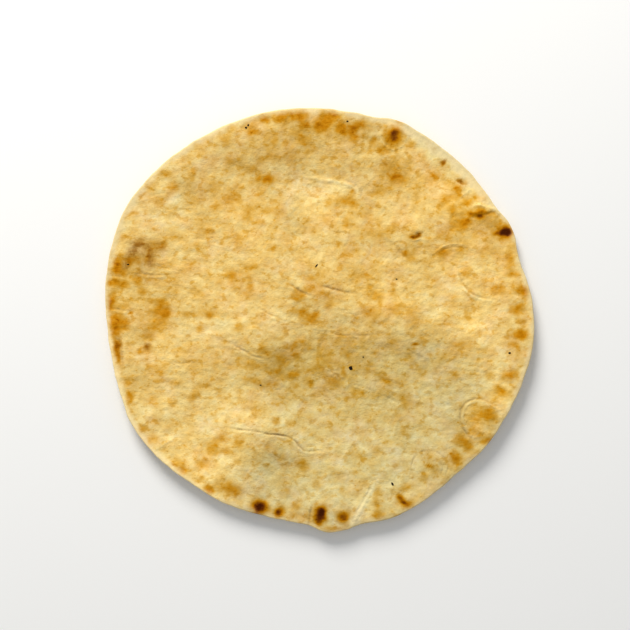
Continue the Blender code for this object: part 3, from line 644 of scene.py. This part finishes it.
tone_width = np.interp(clocks, tone_clocks, tone_widths, period=360)
edge_painted_light = np.interp(clocks, tone_clocks, tones, period=360)
edge_painted_light *= np.clip(1.5 * (1.3 - inset / tone_width), 0, 1)
pale_edge = np.clip((edge_width + 0.8 - inset - 1.6 * warp[:, 0]) / 1.9, 0, 1)
pale_edge *= np.clip(1 - 1.5 * char - 0.8 * toast, 0, 1)
under_toast = 0.22 * np.clip(lumps(places, 13, 3, 31.0), -0.4, 1)
under_toast += 0.5 * np.clip(lumps(places, 6, 2, 32.0) - 0.25, 0, 1)

loaf_mesh = bpy.data.meshes.new("pita_loaf")
uv = bm.loops.layers.uv.new("OFBake")
UPPER_MAP, LOWER_MAP = (0.362, 0.362, 0.358), (0.772, 0.772, 0.2215)  # middle and radius of each disc
for face in bm.faces:
    middle_u, middle_v, radius = LOWER_MAP if face[lower] else UPPER_MAP
    mirror = -1 if face[lower] else 1
    for loop in face.loops:
        direction = Vector((loop.vert.co.x * mirror, loop.vert.co.y)).normalized() * loop.vert[spread]
        loop[uv].uv = (middle_u + radius * direction.x, middle_v + radius * direction.y)
bm.to_mesh(loaf_mesh)
bm.free()
loaf_mesh.shade_smooth()
upper_toast = np.maximum(toast, halo) + np.maximum(clouds, 0)
set_attribute(loaf_mesh, "toast", np.where(is_upper, upper_toast, under_toast))
set_attribute(loaf_mesh, "char", np.where(is_upper, char, 0.0))
# The creases' lips are painted lighter, partly as a painted highlight where they stand up into the light.
set_attribute(loaf_mesh, "pale", np.where(is_upper, pale + np.maximum(-clouds, 0) + 0.26 * lips, 0.0))
set_attribute(loaf_mesh, "pale_edge", pale_edge)
set_attribute(loaf_mesh, "crease", np.where(is_upper, crease_painted_shade, 0.0))
# Painted light and shade: the lightening and darkening table, plus the rim edge's painted light and shade.
set_attribute(loaf_mesh, "painted_light", np.where(is_upper, blotches(warped, PAINTED_LIGHT_AND_SHADE, 1.0) + edge_painted_light, 0.0))
set_attribute(loaf_mesh, "grimy", np.where(is_upper, blotches(warped, GRIMY), 0.0))
# Painted cool shade, with a little of it over the whole underside.
set_attribute(loaf_mesh, "painted_shade", np.where(is_upper, np.clip(blotches(places, PAINTED_SHADE), 0, 1), 0.3))

loaf = bpy.data.objects.new("pita_loaf", loaf_mesh)
bpy.context.scene.collection.objects.link(loaf)

# The skin's colour runs with the bake from cream through gold and amber to brown and near black.
BAKE_COLOURS = (
    (0.00, "f3de9f"), (0.10, "efd692"), (0.19, "ebcd84"), (0.27, "e6c477"), (0.35, "e1ba69"),
    (0.42, "dbb05a"), (0.50, "d5a64a"), (0.59, "cf9b39"), (0.69, "ca8e20"), (0.80, "c2800a"),
    (0.93, "b06c00"), (1.05, "8e5203"), (1.20, "6c3203"), (1.38, "461a02"),
)
BAKE_RANGE = 1.4
BASE_BAKE = 0.275


def linear(hex_colour):
    """A colour given as it looks on a screen, as the shader wants it."""
    channels = (int(hex_colour[i:i + 2], 16) / 255 for i in (0, 2, 4))
    return (*(c / 12.92 if c <= 0.04045 else ((c + 0.055) / 1.055) ** 2.4 for c in channels), 1.0)


crust = bpy.data.materials.new("baked_dough")
crust.use_nodes = True
nodes, links = crust.node_tree.nodes, crust.node_tree.links
skin = nodes["Principled BSDF"]
skin.inputs["Specular IOR Level"].default_value = 0.03
coordinates = nodes.new("ShaderNodeTexCoord")


def attribute_node(name):
    node = nodes.new("ShaderNodeAttribute")
    node.attribute_name = name
    return node.outputs["Fac"]


def noise_node(size_mm, detail, roughness, stretch=(1, 1, 1)):
    """Noise with lumps of about this size, centred on 0.5."""
    mapping = nodes.new("ShaderNodeMapping")
    mapping.inputs["Scale"].default_value = stretch
    links.new(coordinates.outputs["Object"], mapping.inputs["Vector"])
    node = nodes.new("ShaderNodeTexNoise")
    node.inputs["Scale"].default_value = 1 / (size_mm * MM)
    node.inputs["Detail"].default_value = detail
    node.inputs["Roughness"].default_value = roughness
    links.new(mapping.outputs["Vector"], node.inputs["Vector"])
    return node.outputs["Fac"]


def maths(operation, first, second=None, third=None, clamp=False):
    node = nodes.new("ShaderNodeMath")
    node.operation = operation
    node.use_clamp = clamp
    for socket, value in zip(node.inputs, (first, second, third)):
        if isinstance(value, bpy.types.NodeSocket):
            links.new(value, socket)
        elif value is not None:
            socket.default_value = value
    return node.outputs["Value"]


def mixed(factor, first, second, blend="MIX"):
    node = nodes.new("ShaderNodeMix")
    node.data_type = "RGBA"
    node.blend_type = blend
    for name, value in (("Factor_Float", factor), ("A_Color", first), ("B_Color", second)):
        socket = next(s for s in node.inputs if s.identifier == name)
        if isinstance(value, bpy.types.NodeSocket):
            links.new(value, socket)
        else:
            socket.default_value = value
    return next(s for s in node.outputs if s.identifier == "Result_Color")


def stretched(value, low, high, smooth=True):
    """The value's range from low to high, spread over 0 to 1."""
    node = nodes.new("ShaderNodeMapRange")
    node.interpolation_type = "SMOOTHSTEP" if smooth else "LINEAR"
    links.new(value, node.inputs["Value"])
    node.inputs["From Min"].default_value = low
    node.inputs["From Max"].default_value = high
    return node.outputs["Result"]


clouds = noise_node(13, 3, 0.55)
mottle = noise_node(5.0, 3, 0.55)
spots = stretched(noise_node(3.4, 2, 0.5, (1, 1.25, 1)), 0.52, 0.70)
grains = noise_node(1.5, 2, 0.6)
specks = stretched(noise_node(1.3, 1, 0.5, (1, 1.2, 1)), 0.68, 0.78)
fine = noise_node(0.6, 2, 0.6)
bake = maths("MULTIPLY_ADD", clouds, 0.40, BASE_BAKE - 0.20)
bake = maths("MULTIPLY_ADD", mottle, 0.74, maths("SUBTRACT", bake, 0.37))
bake = maths("MULTIPLY_ADD", spots, 0.20, bake)
bake = maths("MULTIPLY_ADD", specks, 0.20, bake)
bake = maths("MULTIPLY_ADD", grains, 0.11, maths("SUBTRACT", bake, 0.055))
bake = maths("SUBTRACT", bake, attribute_node("pale"))
patchy = maths("MULTIPLY_ADD", noise_node(2.6, 3, 0.55), 1.0, 0.53)
bake = maths("MULTIPLY", bake, maths("MULTIPLY_ADD", attribute_node("toast"), -0.6, 1.0))
bake = maths("MULTIPLY_ADD", attribute_node("toast"), patchy, bake)
bake = maths("MULTIPLY_ADD", attribute_node("char"), maths("MULTIPLY_ADD", grains, 0.16, 0.92), bake)
pale_edge = maths("MULTIPLY", attribute_node("pale_edge"), 0.5)
bake = maths("SUBTRACT", bake, maths("MULTIPLY", maths("SUBTRACT", bake, 0.08), pale_edge))

ramp = nodes.new("ShaderNodeValToRGB")
stops = ramp.color_ramp.elements
for number, (position, hex_colour) in enumerate(BAKE_COLOURS):
    stop = stops[number] if number < 2 else stops.new(position / BAKE_RANGE)
    stop.position = position / BAKE_RANGE
    stop.color = linear(hex_colour)
links.new(maths("DIVIDE", bake, BAKE_RANGE), ramp.inputs["Fac"])
rosy_patches = stretched(noise_node(9, 3, 0.6), 0.42, 0.72)
# Painted cool shade: where the skin lies in soft shadow, its colour turns cooler and darker.
colour = mixed(attribute_node("painted_shade"), ramp.outputs["Color"], (0.86, 0.92, 1.0, 1), "MULTIPLY")
colour = mixed(rosy_patches, colour, (0.97, 0.93, 1.02, 1), "MULTIPLY")
grime = maths("MULTIPLY", attribute_node("grimy"), maths("MULTIPLY_ADD", grains, 2.2, -0.1), clamp=True)
colour = mixed(grime, colour, (0.53, 0.44, 0.36, 1), "MULTIPLY")
colour = mixed(maths("MULTIPLY", attribute_node("pale_edge"), 0.5), colour, linear("f0dcac"))
# Painted shade along the creases: the grooves darken the colour, partly as shade and partly as the darker
# crust in a split.
colour = mixed(maths("MULTIPLY", attribute_node("crease"), 0.75), colour, linear("8a6a3a"), "MULTIPLY")
# Painted light and shade multiply the colour, with a fine grain over it.
painted_light = maths("MULTIPLY_ADD", attribute_node("painted_light"), 0.25, maths("MULTIPLY_ADD", fine, 0.24, 0.88))
painted_light = maths("MULTIPLY_ADD", maths("SUBTRACT", grains, 0.5), 0.18, painted_light)
shade = nodes.new("ShaderNodeCombineColor")
for channel in ("Red", "Green", "Blue"):
    links.new(painted_light, shade.inputs[channel])
colour = mixed(1.0, colour, shade.outputs["Color"], "MULTIPLY")
links.new(colour, skin.inputs["Base Color"])
links.new(maths("MULTIPLY_ADD", mottle, 0.25, 0.5), skin.inputs["Roughness"])

bump = nodes.new("ShaderNodeBump")
bump.inputs["Distance"].default_value = 0.6 * MM
links.new(maths("MULTIPLY_ADD", attribute_node("pale_edge"), -0.25, 0.55), bump.inputs["Strength"])
links.new(maths("MULTIPLY_ADD", grains, 0.9, maths("MULTIPLY", fine, 0.32)), bump.inputs["Height"])
links.new(bump.outputs["Normal"], skin.inputs["Normal"])
loaf_mesh.materials.append(crust)

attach(loaf, "root")
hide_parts("pita")

# ---------------------------------------------------------------------------------------------------
# Burnt crumbs: grains of flour and dough that charred on the oven's floor and stuck to the skin.
# ---------------------------------------------------------------------------------------------------
# (x, y, half length, half width in mm, turn in degrees)
CRUMBS = (
    (13.9, -21, 0.95, 0.75, 100), (84, -14.4, 0.6, 0.45, 0), (32.3, -72.4, 0.75, 0.5, 120),
    (-31.5, 86.2, 0.5, 0.4, 60), (-32.5, 85.1, 0.5, 0.45, 0), (12.3, 87.9, 0.45, 0.4, 0),
    (-1.4, 24.1, 0.9, 0.28, 55), (-26, -28.6, 0.5, 0.3, 0), (19.3, -16.2, 0.35, 0.3, 0),
    (34, 18.3, 0.5, 0.25, -10), (-84.7, 24.8, 0.55, 0.3, 10),
)

loaf_surface = BVHTree.FromObject(loaf, bpy.context.evaluated_depsgraph_get())
bm = bmesh.new()
for number, (x, y, half_length, half_width, turn) in enumerate(CRUMBS):
    on_skin = loaf_surface.ray_cast(Vector((x * MM, y * MM, 1)), Vector((0, 0, -1)))[0]
    crumb = bmesh.ops.create_icosphere(bm, subdivisions=3, radius=1)["verts"]
    for vert in crumb:
        vert.co *= 1 + 0.35 * noise.fractal(vert.co * 1.4 + Vector((number * 5.0, 0, 0)), 1.0, 2.0, 2)
    bmesh.ops.scale(bm, verts=crumb, vec=(half_length * MM, half_width * MM, 0.4 * half_width * MM))
    bmesh.ops.rotate(bm, verts=crumb, matrix=Matrix.Rotation(math.radians(turn), 3, "Z"))
    bmesh.ops.translate(bm, verts=crumb, vec=on_skin)
crumbs_mesh = bpy.data.meshes.new("burnt_crumbs")
bm.to_mesh(crumbs_mesh)
bm.free()
crumbs_mesh.shade_smooth()
crumbs = bpy.data.objects.new("burnt_crumbs", crumbs_mesh)
bpy.context.scene.collection.objects.link(crumbs)

charcoal = bpy.data.materials.new("burnt_crumb")
charcoal.use_nodes = True
charcoal.node_tree.nodes["Principled BSDF"].inputs["Base Color"].default_value = linear("1c1209")
charcoal.node_tree.nodes["Principled BSDF"].inputs["Roughness"].default_value = 0.8
charcoal.node_tree.nodes["Principled BSDF"].inputs["Specular IOR Level"].default_value = 0.1
crumbs_mesh.materials.append(charcoal)
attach(crumbs, "root")

# ---------------------------------------------------------------------------------------------------
# The studio: a plain pale table, one large soft light from above and behind, and pale light all round.
# ---------------------------------------------------------------------------------------------------
CAMERA_HEIGHT = 0.5  # above the bread's level
BREAD_LEVEL = 5 * MM
FIELD_OF_VIEW = 279.4 * MM
SENSOR = 36.0  # mm

table_mesh = bpy.data.meshes.new("table")
bm = bmesh.new()
bmesh.ops.create_grid(bm, x_segments=1, y_segments=1, size=3)
bm.to_mesh(table_mesh)
bm.free()
table = bpy.data.objects.new("table", table_mesh)
bpy.context.scene.collection.objects.link(table)
table_top = bpy.data.materials.new("table_top")
table_top.use_nodes = True
table_top.node_tree.nodes["Principled BSDF"].inputs["Base Color"].default_value = (0.90, 0.90, 0.89, 1)
table_top.node_tree.nodes["Principled BSDF"].inputs["Roughness"].default_value = 0.8
table_mesh.materials.append(table_top)

world = bpy.data.worlds.new("studio")
bpy.context.scene.world = world
world.use_nodes = True
world.node_tree.nodes["Background"].inputs["Color"].default_value = (0.96, 0.98, 1.0, 1)
world.node_tree.nodes["Background"].inputs["Strength"].default_value = 0.468

key_light = bpy.data.lights.new("key", "AREA")
key_light.shape = "DISK"
key_light.size = 0.6
key_light.energy = 18.7
key_light.color = (1.0, 0.97, 0.92)
key = bpy.data.objects.new("key", key_light)
key.location = (-0.35, 1.04, 0.69)
key.rotation_euler = (-key.location).to_track_quat("-Z", "Y").to_euler()
bpy.context.scene.collection.objects.link(key)

camera_data = bpy.data.cameras.new("camera")
camera_data.sensor_width = SENSOR
camera_data.lens = SENSOR * CAMERA_HEIGHT / FIELD_OF_VIEW
camera = bpy.data.objects.new("camera", camera_data)
camera.location = (-2.0 * MM, 2.4 * MM, BREAD_LEVEL + CAMERA_HEIGHT)
bpy.context.scene.collection.objects.link(camera)
bpy.context.scene.camera = camera
bpy.context.scene.view_settings.view_transform = "Standard"
